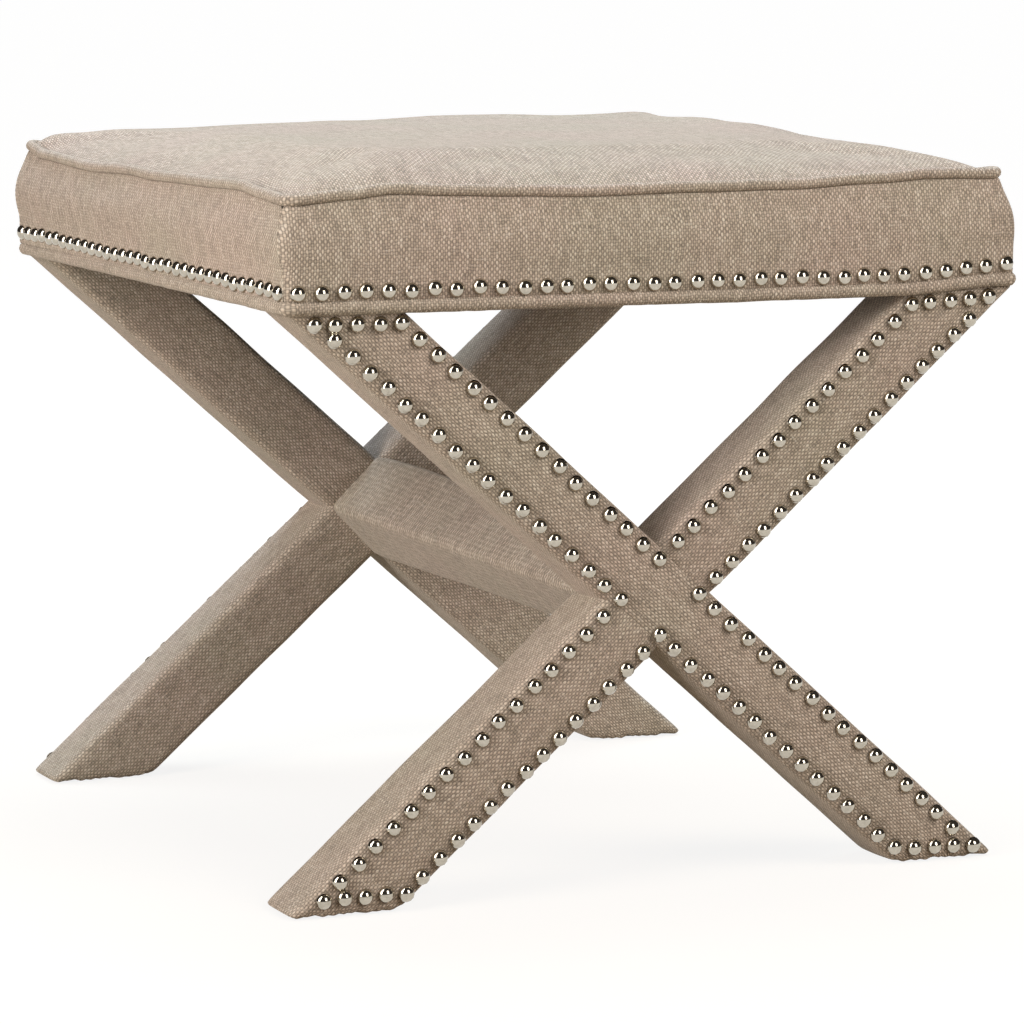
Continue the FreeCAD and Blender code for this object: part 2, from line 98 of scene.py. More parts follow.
def smoothShade(piece, degrees):
    makeActive(piece)
    bpy.ops.object.shade_smooth_by_angle(angle=math.radians(degrees))


def clothLayer(mesh):  # the one map of a mesh, which the weave follows in metres
    for other in [each for each in mesh.uv_layers if each.name != "cloth"]:
        mesh.uv_layers.remove(other)
    return mesh.uv_layers.get("cloth") or mesh.uv_layers.new(name="cloth")


def layCloth(piece, toCloth):  # toCloth gives a corner's place on the flat cloth
    mesh = piece.data
    layer = clothLayer(mesh)
    for face in mesh.polygons:
        for loop in face.loop_indices:
            vertex = mesh.loops[loop].vertex_index
            layer.data[loop].uv = toCloth(mesh.vertices[vertex].co, face)


def roundAndCut(bar, axis, length, spec):  # rounds the long edges, then cuts the bar into a fine grid
    def span(edge):
        return abs(edge.verts[0].co[axis] - edge.verts[1].co[axis])

    choose(bar, "EDGE", lambda edge: span(edge) > length / 2)
    bpy.ops.mesh.bevel(offset=spec["edgeRound"], segments=spec["edgeSteps"], affect="EDGES")
    choose(bar, "EDGE", lambda edge: edge.calc_length() > spec["flatLeast"] and span(edge) < mm)
    bpy.ops.mesh.subdivide(number_cuts=spec["acrossCuts"])
    choose(bar, "EDGE", lambda edge: span(edge) > length / 2)
    bpy.ops.mesh.subdivide(number_cuts=round(length / spec["ringPitch"]))
    bpy.ops.object.mode_set(mode="OBJECT")


def ripple(place, size, seed):  # smooth unevenness between -1 and 1
    return noise.noise(Vector(place) / size + Vector((seed, seed * 1.7, seed * 0.6)))


def easeBetween(value, low, high):
    share = min(max((value - low) / (high - low), 0.0), 1.0)
    return share * share * (3 - 2 * share)


def alongTable(table, place):  # eased between neighbouring entries
    if place <= table[0][0]:
        return table[0][1]
    for (fromPlace, fromValue), (toPlace, toValue) in zip(table, table[1:]):
        if place <= toPlace:
            return fromValue + (toValue - fromValue) * easeBetween(place, fromPlace, toPlace)
    return table[-1][1]


# Materials

def hexColour(text):
    parts = [int(text[i:i + 2], 16) / 255 for i in (1, 3, 5)]
    return [v / 12.92 if v <= 0.04045 else ((v + 0.055) / 1.055) ** 2.4 for v in parts] + [1.0]


def addNode(tree, kind, inputs=None, **settings):
    node = tree.nodes.new(kind)
    for key, value in settings.items():
        setattr(node, key, value)
    for key, value in (inputs or {}).items():
        if isinstance(value, bpy.types.NodeSocket):
            tree.links.new(value, node.inputs[key])
        else:
            node.inputs[key].default_value = value
    return node


def maths(tree, operation, *inputs):
    return addNode(tree, "ShaderNodeMath", dict(enumerate(inputs)), operation=operation).outputs[0]


def newMaterial(name):
    material = bpy.data.materials.new(name)
    material.use_nodes = True
    material.node_tree.nodes.clear()
    return material, material.node_tree


def setRamp(node, stops):
    ramp = node.color_ramp
    while len(ramp.elements) > 2:
        ramp.elements.remove(ramp.elements[-1])
    for index, (place, colour) in enumerate(stops):
        element = ramp.elements[index] if index < 2 else ramp.elements.new(place)
        element.position = place
        element.color = hexColour(colour)


linenCloth = {
    "warpPitch": 1.66 * mm, "weftPitch": 1.85 * mm,  # coarse upholstery linen
    "wanderLength": 26 * mm, "wander": 2.2 * mm,
    "slubLength": 9 * mm, "slubSwell": 1.4, "laneStep": 7.31, "slubSeed": {"warp": 3.7, "weft": 11.9},
    "shadeThread": "#b3a79b", "midThread": "#cabbad", "paleThread": "#dbd0c5",
    "power": {"warp": 0.7, "weft": 1.0}, "height": {"warp": 1.0, "weft": 0.46},
    "meanLift": 0.55, "crossLift": 0.45,  # of a thread, and what going over or under adds
    # painted shade: the yarn colour is darkened where the threads lie low, in the gaps and on the weft, and
    # lifted a little on the highest floats
    "gapLevel": 0.08, "floatLevel": 0.8, "paintedGapShade": 0.3, "paintedFloatShade": 1.04,
    "patchLength": 120 * mm, "warmPatch": "#fff8f4", "coolPatch": "#f9f9f1",
    "fibreLength": 0.5 * mm, "fibreRelief": 0.25, "bumpHeight": 0.55 * mm, "bumpStrength": 0.75,
    "sheenTint": "#f6eadd",
}


def weaveLinen():
    # Natural linen, plain weave from slubby yarn: matt, light warp standing over a lower weft, the weft and
    # the gaps between threads darkened by painted shade, uneven tone
    spec = linenCloth
    material, tree = newMaterial("linen_plain_weave")
    cloth = addNode(tree, "ShaderNodeUVMap", uv_map="cloth").outputs["UV"]
    drift = addNode(tree, "ShaderNodeTexNoise", {"Vector": cloth, "Scale": 1 / spec["wanderLength"],
                                                 "Detail": 4.0, "Roughness": 0.6})
    centred = addNode(tree, "ShaderNodeVectorMath", {0: drift.outputs["Color"], 1: (0.5, 0.5, 0.5)},
                      operation="SUBTRACT")
    reach = (2 * spec["wander"],) * 3
    moved = addNode(tree, "ShaderNodeVectorMath", {0: centred.outputs[0], 1: reach, 2: cloth},
                    operation="MULTIPLY_ADD")
    pitches = (spec["warpPitch"], spec["weftPitch"], 1)
    counts = addNode(tree, "ShaderNodeVectorMath", {0: moved.outputs[0], 1: pitches}, operation="DIVIDE")
    axes = addNode(tree, "ShaderNodeSeparateXYZ", {0: counts.outputs[0]})
    index, rounded, slub = {}, {}, {}
    for name, axis, other in (("warp", "X", "Y"), ("weft", "Y", "X")):
        index[name] = maths(tree, "FLOOR", axes.outputs[axis])
        share = maths(tree, "FRACT", axes.outputs[axis])
        angle = maths(tree, "MULTIPLY_ADD", share, math.pi, -math.pi / 2)
        rounded[name] = maths(tree, "POWER", maths(tree, "COSINE", angle), spec["power"][name])
        # each thread has its own tone, and slubs along it
        lane = maths(tree, "MULTIPLY", index[name], spec["laneStep"])
        run = maths(tree, "MULTIPLY", axes.outputs[other], spec["warpPitch"] / spec["slubLength"])
        place = addNode(tree, "ShaderNodeCombineXYZ", {0: lane, 1: run, 2: spec["slubSeed"][name]})
        uneven = addNode(tree, "ShaderNodeTexNoise", {"Vector": place.outputs[0], "Scale": 1.0, "Detail": 3.0,
                                                      "Roughness": 0.6})
        slub[name] = uneven.outputs["Fac"]
    crossing = maths(tree, "ADD", index["warp"], index["weft"])
    parity = maths(tree, "FLOORED_MODULO", crossing, 2.0)
    over = maths(tree, "MULTIPLY_ADD", parity, 2 * spec["crossLift"], -spec["crossLift"])
    heights = {}
    for name, other, sign in (("warp", "weft", 1.0), ("weft", "warp", -1.0)):
        most, swell = spec["height"][name], spec["slubSwell"]
        side = maths(tree, "MULTIPLY", over, sign)
        lift = maths(tree, "MULTIPLY_ADD", side, rounded[other], spec["meanLift"])
        raised = maths(tree, "MULTIPLY", lift, rounded[name])
        thick = maths(tree, "MULTIPLY_ADD", slub[name], swell * most, (1 - swell / 2) * most)
        heights[name] = maths(tree, "MULTIPLY", raised, thick)
    top = maths(tree, "MAXIMUM", heights["warp"], heights["weft"])
    warpOnTop = maths(tree, "GREATER_THAN", heights["warp"], heights["weft"])
    tone = addNode(tree, "ShaderNodeMix", {"Factor": warpOnTop, 2: slub["weft"], 3: slub["warp"]},
                   data_type="FLOAT")
    yarn = addNode(tree, "ShaderNodeValToRGB", {"Fac": tone.outputs[0]})
    setRamp(yarn, [(0.28, spec["shadeThread"]), (0.72, spec["paleThread"]), (0.5, spec["midThread"])])
    # painted shade: thread height scales the yarn colour, darker in the gaps between threads and on the lower
    # weft, a little lighter on the top floats
    depth = addNode(tree, "ShaderNodeMapRange", {
        "Value": top, "From Min": spec["gapLevel"], "From Max": spec["floatLevel"],
        "To Min": spec["paintedGapShade"], "To Max": spec["paintedFloatShade"]})
    patch = addNode(tree, "ShaderNodeTexNoise", {"Vector": cloth, "Scale": 1 / spec["patchLength"],
                                                 "Detail": 3.0})
    tint = addNode(tree, "ShaderNodeValToRGB", {"Fac": patch.outputs["Fac"]})
    setRamp(tint, [(0.35, spec["coolPatch"]), (0.65, spec["warmPatch"])])
    tinted = addNode(tree, "ShaderNodeMix", {
        "Factor": 1.0, 6: yarn.outputs["Color"], 7: tint.outputs["Color"]},
        data_type="RGBA", blend_type="MULTIPLY")
    # the yarn colour with the painted shade multiplied in
    paintedShadeColour = addNode(tree, "ShaderNodeVectorMath", {0: tinted.outputs[2], "Scale": depth.outputs[0]},
                     operation="SCALE")
    fibre = addNode(tree, "ShaderNodeTexNoise", {"Vector": cloth, "Scale": 1 / spec["fibreLength"],
                                                 "Detail": 2.0})
    fuzz = maths(tree, "MULTIPLY_ADD", fibre.outputs["Fac"], spec["fibreRelief"], top)
    bump = addNode(tree, "ShaderNodeBump", {"Height": fuzz, "Distance": spec["bumpHeight"],
                                            "Strength": spec["bumpStrength"]})
    shader = addNode(tree, "ShaderNodeBsdfPrincipled", {
        "Base Color": paintedShadeColour.outputs[0], "Normal": bump.outputs[0], "Roughness": 0.92, "IOR": 1.5,
        "Specular IOR Level": 0.2, "Sheen Weight": 0.28, "Sheen Roughness": 0.45,
        "Sheen Tint": hexColour(spec["sheenTint"])})
    addNode(tree, "ShaderNodeOutputMaterial", {"Surface": shader.outputs[0]})
    return material


def grainedMaterial(name, dark, light, grain, roughness, bumpHeight, metallic=0.0, stretch=(1, 1, 1)):
    # two tones through a noise of the grain's real size, with the same noise as relief
    material, tree = newMaterial(name)
    place = addNode(tree, "ShaderNodeTexCoord")
    turned = addNode(tree, "ShaderNodeMapping", {"Vector": place.outputs["Object"], "Scale": stretch})
    speck = addNode(tree, "ShaderNodeTexNoise", {"Vector": turned.outputs[0], "Scale": 1 / grain,
                                                 "Detail": 5.0, "Roughness": 0.6})
    ramp = addNode(tree, "ShaderNodeValToRGB", {"Fac": speck.outputs["Fac"]})
    setRamp(ramp, [(0.32, dark), (0.68, light)])
    rough = addNode(tree, "ShaderNodeMapRange", {"Value": speck.outputs["Fac"], "To Min": roughness * 0.85,
                                                 "To Max": min(roughness * 1.15, 1.0)})
    bump = addNode(tree, "ShaderNodeBump", {"Height": speck.outputs["Fac"], "Distance": bumpHeight,
                                            "Strength": 0.5})
    shader = addNode(tree, "ShaderNodeBsdfPrincipled", {
        "Base Color": ramp.outputs["Color"], "Roughness": rough.outputs[0], "Normal": bump.outputs[0],
        "Metallic": metallic})
    addNode(tree, "ShaderNodeOutputMaterial", {"Surface": shader.outputs[0]})
    return material


linen = weaveLinen()
# nickel plate, buffed: a warm mirror with hair-fine polishing haze
nickel = grainedMaterial("nickel_plate_buffed", "#aea799", "#c2bbae", 3 * mm, 0.09, 0.004 * mm, metallic=1.0)
# black spun cambric: dead matt, faint fibre mottling
cambric = grainedMaterial("cambric_black_spun", "#16161a", "#26262b", 1.6 * mm, 0.95, 0.15 * mm)
# beech, planed: pale tan with fine darker grain along the rail
beechTones = ("#a57c50", "#c9a678", 4 * mm, 0.6, 0.12 * mm)
beechAlongX = grainedMaterial("beech_planed", *beechTones, stretch=(0.08, 1, 1))
beechAlongY = grainedMaterial("beech_planed_sides", *beechTones, stretch=(1, 0.08, 1))
# beech dowel, turned and fluted: paler, finer grain
dowelWood = grainedMaterial("beech_dowel_turned", "#c2a177", "#dcc097", 2.5 * mm, 0.55, 0.08 * mm,
                            stretch=(1, 0.15, 1))
# birch plywood: broad pale figure
plywood = grainedMaterial("birch_plywood_sanded", "#c8ac80", "#e2cba2", 9 * mm, 0.6, 0.1 * mm,
                          stretch=(0.12, 1, 1))
# zinc-plated steel: grey, slightly cloudy, half bright
zincSteel = grainedMaterial("steel_zinc_plated", "#9a9da0", "#c4c7c9", 2 * mm, 0.32, 0.02 * mm, metallic=1.0)
# moulded nylon: dark brown, satin, faint mould texture
nylon = grainedMaterial("nylon_moulded", "#2b241f", "#3a322b", 1.2 * mm, 0.45, 0.03 * mm)
print("materials made")


def dress(piece, material, slot, *nodes):  # finish, body and the solids it stands for; the slot is not used
    piece.data.materials.clear()
    piece.data.materials.append(material)
    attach(piece, "root")
    if nodes:
        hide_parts(*nodes)


# Seat: top panel and boxing, shaped as one stuffed form, then taken apart at the seams

seat = {
    "stripHalf": 253 * mm, "stripBottom": 378.8 * mm, "stripTop": 398.2 * mm,
    "seamHalf": 246 * mm, "seamLevel": 442.7 * mm,
    "bulge": 1.3 * mm, "bulgeShare": 0.4, "drawInPower": 1.8,
    "stripCorner": 2.5 * mm, "seamCorner": 6 * mm, "frontWrap": 6 * mm,
    "cornerSpread": 0.35, "cornerMost": 0.85,  # the top's corners round off more towards the middle
    "crown": 21 * mm, "crownPower": 16.0, "crownSteps": 40,
    "gridCuts": 88, "boxingRows": 12, "stripRows": 4,
    "cloth": 1.2 * mm, "frontClothStart": 0.31, "sideClothStart": 1.17,
    "frames": 20, "swellLimit": 3 * mm, "boxingSwell": 1 * mm, "holdAbove": 0.5 * mm,
    # rise of the sewn edge along each side: place and height in millimetres
    # front and left follow the seam in the photograph, back and right its outline
    "frontRise": [(-243, -6.0), (-206, -2.8), (-178, 0.2), (-140, -1.4), (-97, -2.7), (-52, -3.7),
                  (26, -2.6), (90, -2.0), (153, 0.6), (193, 2.8), (243, 2.0)],
    "leftRise": [(-243, -6.0), (-205, -3.6), (-169, -1.0), (-92, -2.6), (-11, -4.0), (30, -3.0),
                 (108, -5.2), (211, -2.6), (243, 2.0)],
    "backRise": [(-243, 2.0), (-205, -4.5), (-139, -8.0), (-63, -4.6), (20, 4.4), (110, 4.2),
                 (172, 2.0), (243, 4.6)],
    "rightRise": [(-243, 3.0), (-200, -1.0), (-125, 2.0), (-60, 2.2), (10, 6.6), (94, 6.8),
                  (160, 5.0), (243, 4.6)],
    "riseNear": 2 * mm, "riseFade": 110 * mm,
    # x, y, radius and depth of the hollows in the crown, millimetres, the last one a fuller corner
    "hollows": [(200, -215, 110, 3.8), (-170, 200, 140, 2.0), (-236, 236, 38, -3.2)], "hollowFade": 8 * mm,
    "topLumps": 1.6 * mm, "lumpFade": 50 * mm, "boxingLumps": 1.1 * mm,
    "leftLean": 5 * mm, "stripLean": 2.2 * mm, "leanSpan": (60 * mm, 240 * mm), "leanBelly": 0.3,
    "lowerLift": 4.5 * mm, "liftSpanX": (165 * mm, 245 * mm), "liftSpanY": (-250 * mm, -60 * mm),
}
stuffing = {
    "quality": 5, "mass": 0.35, "tension_stiffness": 25, "compression_stiffness": 25, "shear_stiffness": 8,
    "bending_stiffness": 3, "vertex_group_mass": "held", "use_pressure": True, "uniform_pressure_force": 4.0,
}


def roundPlan(x, y, half, radius):  # square plan to round-cornered plan
    inner = half - radius
    dx, dy = abs(x) - inner, abs(y) - inner
    if dx <= 0 or dy <= 0:
        return x, y
    reach = max(dx, dy)
    length = math.hypot(dx, dy)
    return (math.copysign(inner + dx / length * reach, x), math.copysign(inner + dy / length * reach, y))


def edgeRise(x, y):  # height of the sewn edge beside a point, blended round the corners
    spec = seat
    half = spec["seamHalf"]
    sides = [("frontRise", half + y, x), ("backRise", half - y, x),
             ("leftRise", half + x, y), ("rightRise", half - x, y)]
    total, weight = 0.0, 0.0
    for name, distance, place in sides:
        pull = 1 / max(distance, spec["riseNear"]) ** 2
        total += pull * alongTable(spec[name], place / mm) * mm
        weight += pull
    return total / weight


def leftLean(x):  # the stuffing leans out on the left
    return -seat["leftLean"] * easeBetween(-x, *seat["leanSpan"])


def stripLean(x, y):  # and its lower edge with it, towards the back
    return -seat["stripLean"] * easeBetween(-x, *seat["leanSpan"]) * easeBetween(y, 0, seat["leanSpan"][1])


def lowerLift(x, y):  # the lower edge runs up a little at the front right corner
    return seat["lowerLift"] * easeBetween(x, *seat["liftSpanX"]) * (1 - easeBetween(y, *seat["liftSpanY"]))


def boxingSetback(share):  # 0 at the strip's top, 1 at the seam
    spec = seat
    drawIn = spec["stripHalf"] - spec["seamHalf"]
    swing = share / (2 * spec["bulgeShare"])
    belly = math.sin(math.pi * swing) if swing < 1 else 0.0
    return drawIn * share ** spec["drawInPower"] - spec["bulge"] * belly


def buildSeat():
    spec = seat
    deselectAll()
    bpy.ops.mesh.primitive_grid_add(x_subdivisions=spec["gridCuts"], y_subdivisions=spec["gridCuts"],
                                    size=2 * spec["seamHalf"], location=(0, 0, spec["seamLevel"]))
    form = namePiece("seat_form")
    bpy.ops.object.transform_apply(location=True, rotation=True, scale=True)
    choose(form, "EDGE", lambda edge: edge.is_boundary)
    height = spec["seamLevel"] - spec["stripTop"]
    rows = [1 - (row + 1) / spec["boxingRows"] for row in range(spec["boxingRows"])]
    levels = [(boxingSetback(share), spec["stripTop"] + share * height) for share in rows]
    for row in range(spec["stripRows"]):
        step = (row + 1) / spec["stripRows"]
        levels.append((0.0, spec["stripTop"] + step * (spec["stripBottom"] - spec["stripTop"])))
    lastHalf, lastLevel = spec["seamHalf"], spec["seamLevel"]
    for setback, level in levels:
        half = spec["stripHalf"] - setback
        bpy.ops.mesh.extrude_region_move(TRANSFORM_OT_translate={"value": (0, 0, level - lastLevel)})
        bpy.ops.transform.resize(value=(half / lastHalf, half / lastHalf, 1))
        lastHalf, lastLevel = half, level
    bpy.ops.mesh.edge_face_add()
    bpy.ops.mesh.select_all(action="SELECT")
    bpy.ops.mesh.normals_make_consistent(inside=False)
    bpy.ops.object.mode_set(mode="OBJECT")
    return form


def panelOf(place, normal):  # 0 top, then front, right, back, left, and 5 for the closing face
    if normal.z < -0.9 and place.z < seat["stripBottom"] + 1 * mm:
        return 5
    if place.z > seat["seamLevel"] - close and max(abs(place.x), abs(place.y)) < seat["seamHalf"]:
        return 0
    if abs(place.y) >= abs(place.x) * (1 - seat["frontWrap"] / seat["stripHalf"]):
        return 1 if place.y < 0 else 3
    return 2 if place.x > 0 else 4


def crownRun(reach):  # length of cloth from the middle of the top, over the crown
    spec = seat
    count = spec["crownSteps"]
    step = abs(reach) / count
    shares = [min(i * step / spec["seamHalf"], 1.0) for i in range(count + 1)]
    levels = [spec["crown"] * (1 - share ** spec["crownPower"]) for share in shares]
    return math.copysign(sum(math.hypot(step, b - a) for a, b in zip(levels, levels[1:])), reach)


def seatClothPlace(place, face):  # on the flat cloth, each panel cut from a length of its own
    if face.material_index == 0:
        return crownRun(place.x), crownRun(place.y)
    if face.material_index in (1, 3):
        return place.x + seat["frontClothStart"], place.z
    return place.y + seat["sideClothStart"], place.z


def topPlace(x, y, edge):  # crowned, with hollows, edge being the distance to the seam
    spec = seat
    half = spec["seamHalf"] - edge
    if half > 0:
        radius = spec["seamCorner"] + spec["cornerSpread"] * edge
        x, y = roundPlan(x, y, half, min(radius, spec["cornerMost"] * half))
    crown = spec["crown"] * (1 - (1 - edge / spec["seamHalf"]) ** spec["crownPower"])
    rise = edgeRise(x, y) * (1 - easeBetween(edge, 0, spec["riseFade"]))
    lumps = spec["topLumps"] * ripple((x, y, 0), 110 * mm, 3.1) * easeBetween(edge, 0, spec["lumpFade"])
    z = spec["seamLevel"] + crown + rise + lumps
    for hollowX, hollowY, wide, deep in spec["hollows"]:
        distance = math.hypot(x / mm - hollowX, y / mm - hollowY)
        z -= deep * mm * (1 - easeBetween(distance, 0, wide)) * easeBetween(edge, 0, spec["hollowFade"])
    return x + leftLean(x), y, z


def boxingPlace(x, y, z):  # swelled and leaning, following the sewn edge above and the lift below
    spec = seat
    share = easeBetween(z, spec["stripTop"], spec["seamLevel"])
    radius = spec["stripCorner"] + share * (spec["seamCorner"] - spec["stripCorner"])
    x, y = roundPlan(x, y, max(abs(x), abs(y)), radius)
    up = max((z - spec["stripTop"]) / (spec["seamLevel"] - spec["stripTop"]), 0.0)
    belly = math.sin(math.pi * up)
    z += edgeRise(x, y) * up + lowerLift(x, y) * (1 - up)
    swell = 1 + spec["boxingLumps"] * ripple((x, y, z * 1.6), 70 * mm, 8.3) * belly / spec["stripHalf"]
    lean = leftLean(x) * (up + spec["leanBelly"] * belly) + stripLean(x, y) * (1 - up)
    return x * swell + lean, y * swell, z


def shapeSeat(form):
    spec = seat
    mesh = form.data
    for face in mesh.polygons:
        face.material_index = panelOf(face.center, face.normal)
    held = form.vertex_groups.new(name="held")
    for vertex in mesh.vertices:
        x, y, z = vertex.co
        edge = spec["seamHalf"] - max(abs(x), abs(y))
        onTop = z > spec["seamLevel"] - close
        x, y, z = topPlace(x, y, edge) if onTop else boxingPlace(x, y, z)
        if edge < touching or z < spec["stripTop"] + spec["holdAbove"] + lowerLift(x, y):
            held.add([vertex.index], 1.0, "REPLACE")
        vertex.co = (x, y, z)
    layCloth(form, seatClothPlace)


def swellSeat(form):
    spec = seat
    start = [vertex.co.copy() for vertex in form.data.vertices]
    makeActive(form)
    bpy.ops.object.modifier_add(type="CLOTH")
    cloth = form.modifiers[-1]
    for key, value in stuffing.items():
        setattr(cloth.settings, key, value)
    cloth.settings.effector_weights.gravity = 0
    cloth.collision_settings.use_collision = False
    cloth.point_cache.frame_end = spec["frames"]
    for step in range(1, spec["frames"] + 1):
        scene.frame_set(step)
    bpy.ops.object.modifier_apply(modifier=cloth.name)
    scene.frame_set(1)
    most = 0.0
    for vertex, place in zip(form.data.vertices, start):
        shift = vertex.co - place
        onTop = max(abs(place.x), abs(place.y)) < spec["seamHalf"] - 1 * mm
        limit = spec["swellLimit"] if onTop else spec["boxingSwell"]
        if shift.length > limit:
            shift = shift.normalized() * limit
        most = max(most, shift.length)
        vertex.co = place + shift
    print("seat swelled by up to %.1f mm" % (most / mm))


def takeSeatApart(form):
    choose(form, "FACE", lambda face: face.material_index == 5)
    bpy.ops.mesh.delete(type="FACE")
    bpy.ops.object.mode_set(mode="OBJECT")
    panels = {}
    for index, side in enumerate(("front", "right", "back", "left"), 1):
        choose(form, "FACE", lambda face: face.material_index == index)
        bpy.ops.mesh.separate(type="SELECTED")
        bpy.ops.object.mode_set(mode="OBJECT")
        panel = [each for each in bpy.context.selected_objects if each != form][0]
        panels[side] = rename(panel, "boxing_%s_cloth" % side)
        makeActive(form)
    panels["top"] = rename(form, "seat_top_cloth")
    for panel in panels.values():
        panel.vertex_groups.clear()
        for face in panel.data.polygons:
            face.material_index = 0
        applyModifier(panel, "SOLIDIFY", thickness=seat["cloth"], offset=-1.0, use_even_offset=True)
        applyModifier(panel, "SUBSURF", levels=1, render_levels=1)
        smoothShade(panel, 60)
    return panels


seatForm = buildSeat()
for _ in range(6):
    seatForm.data.materials.append(linen)
shapeSeat(seatForm)
swellSeat(seatForm)
seatPanels = takeSeatApart(seatForm)
dress(seatPanels["top"], linen, "linen", "seat_top_panel", "seat_foam", "seat_wadding")
for side in ("front", "right", "back", "left"):
    dress(seatPanels[side], linen, "linen", "boxing_%s" % side)
print("seat cloth made")


# Welts: cloth over cord, along the top seam and along the lower edge

welts = {
    "upper": {"half": 244.6 * mm, "level": 446 * mm, "corner": 7 * mm, "diameter": 7.2 * mm, "wavy": True},
    "lower": {"half": 251 * mm, "level": 375.6 * mm, "corner": 3.6 * mm, "diameter": 9 * mm, "wavy": False},
}
sewing = {"sideSteps": 96, "bendSteps": 10, "waver": 0.35 * mm, "sway": 0.45 * mm, "stray": 0.3 * mm,
          "outOfRound": 0.07, "bevelSteps": 4}


def weltPath(spec):
    half, radius = spec["half"], spec["corner"]
    run = half - radius
    sides, bends = sewing["sideSteps"], sewing["bendSteps"]
    path = []
    for turn in range(4):
        spin = Matrix.Rotation(turn * math.pi / 2, 3, "Z")
        side = [Vector((-run + 2 * run * i / sides, -half, 0)) for i in range(sides)]
        bend = [Vector((run + radius * math.sin(a), -run - radius * math.cos(a), 0))
                for a in [math.pi / 2 * i / bends for i in range(bends)]]
        path += [spin @ point for point in side + bend]
    lifted = []
    for point in path:
        level = spec["level"] + sewing["waver"] * ripple(point, 35 * mm, 5.0)
        if spec["wavy"]:
            level += edgeRise(point.x, point.y)
        else:
            level += sewing["sway"] * ripple(point, 90 * mm, 2.0) + lowerLift(point.x, point.y)
        out = 1 + sewing["stray"] * ripple(point, 30 * mm, 9.0) / half
        lean = leftLean(point.x) if spec["wavy"] else 0.0
        lifted.append(Vector((point.x * out + lean, point.y * out, level)))
    return lifted


def sweepWelt(name, spec, path):
    deselectAll()
    line = bpy.data.curves.new(name, "CURVE")
    line.dimensions = "3D"
    line.bevel_depth = spec["diameter"] / 2
    line.bevel_resolution = sewing["bevelSteps"]
    spline = line.splines.new("POLY")
    spline.points.add(len(path) - 1)
    for point, place in zip(spline.points, path):
        point.co = (*place, 1)
    spline.use_cyclic_u = True
    piece = bpy.data.objects.new(name, line)
    scene.collection.objects.link(piece)
    makeActive(piece)
    bpy.ops.object.convert(target="MESH")
    return bpy.context.object


def makeWelt(name, spec):
    path = weltPath(spec)
    piece = sweepWelt(name, spec, path)
    mesh = piece.data
    count = len(path)
    around = len(mesh.vertices) // count
    lengths = [0.0]
    for a, b in zip(path, path[1:] + path[:1]):
        lengths.append(lengths[-1] + (b - a).length)
    girth = math.pi * spec["diameter"]
    layer = clothLayer(mesh)
    for face in mesh.polygons:
        rings = [mesh.loops[loop].vertex_index // around for loop in face.loop_indices]
        turns = [mesh.loops[loop].vertex_index % around for loop in face.loop_indices]
        for loop, ring, turn in zip(face.loop_indices, rings, turns):
            ring = count if ring == 0 and max(rings) == count - 1 else ring
            turn = around if turn == 0 and max(turns) == around - 1 else turn
            layer.data[loop].uv = (lengths[ring], girth * turn / around)
    for vertex in mesh.vertices:  # the cord under the cloth is never quite round
        middle = path[vertex.index // around]
        uneven = 1 + sewing["outOfRound"] * ripple(vertex.co, 6 * mm, 4.0)
        vertex.co = middle + (vertex.co - middle) * uneven
    smoothShade(piece, 80)
    return piece


for name, spec in welts.items():
    welt = makeWelt("%s_welt_cloth" % name, spec)
    dress(welt, linen, "linen", "%s_welt" % name)
print("welts made")


# Crossed frames: padded bars, cut level at the seat and the floor

bars = {
    "length": 640 * mm, "faceWidth": 50 * mm, "depth": 48 * mm, "edgeRound": 5.2 * mm, "edgeSteps": 3,
    "ringPitch": 5 * mm, "acrossCuts": 8, "flatLeast": 20 * mm, "clothStart": 0.4,
    "angle": math.radians(41.164), "crossLevel": 186.5 * mm, "middleY": -227 * mm,
    "top": 371 * mm, "cutTop": 377 * mm, "foot": 2 * mm, "footX": 211 * mm,
    "cutFoot": 0.7 * mm, "footRound": 3 * mm, "footDraw": 0.8,
    "puff": 0.7 * mm, "unevenness": 0.55 * mm, "puffBand": 7 * mm,
    "seamTuck": 1.4 * mm, "tuckReach": 7 * mm, "overlap": 7 * mm,
}
frameNails = {
    "pitch": 15.2 * mm, "inset": 7 * mm, "topInset": 6 * mm, "footInset": 9.5 * mm, "faceY": -251 * mm,
    "topReach": 3 * mm, "footReach": 5 * mm, "footDroop": 3 * mm, "wander": 0.7 * mm, "tilt": 4.0,
    "standOut": 0.3 * mm, "faceBand": 5 * mm, "dimple": 1 * mm, "dimpleSpan": (3 * mm, 11 * mm),
}


def legPoint(along, across, side):
    angle = bars["angle"]
    run = Vector((side * math.cos(angle), 0, -math.sin(angle)))
    square = Vector((side * math.sin(angle), 0, math.cos(angle)))
    return Vector((0, 0, bars["crossLevel"])) + run * along + square * across


def spaced(start, end, pitch):
    count = max(1, round((end - start).length / pitch))
    return [start.lerp(end, i / count) for i in range(count + 1)]


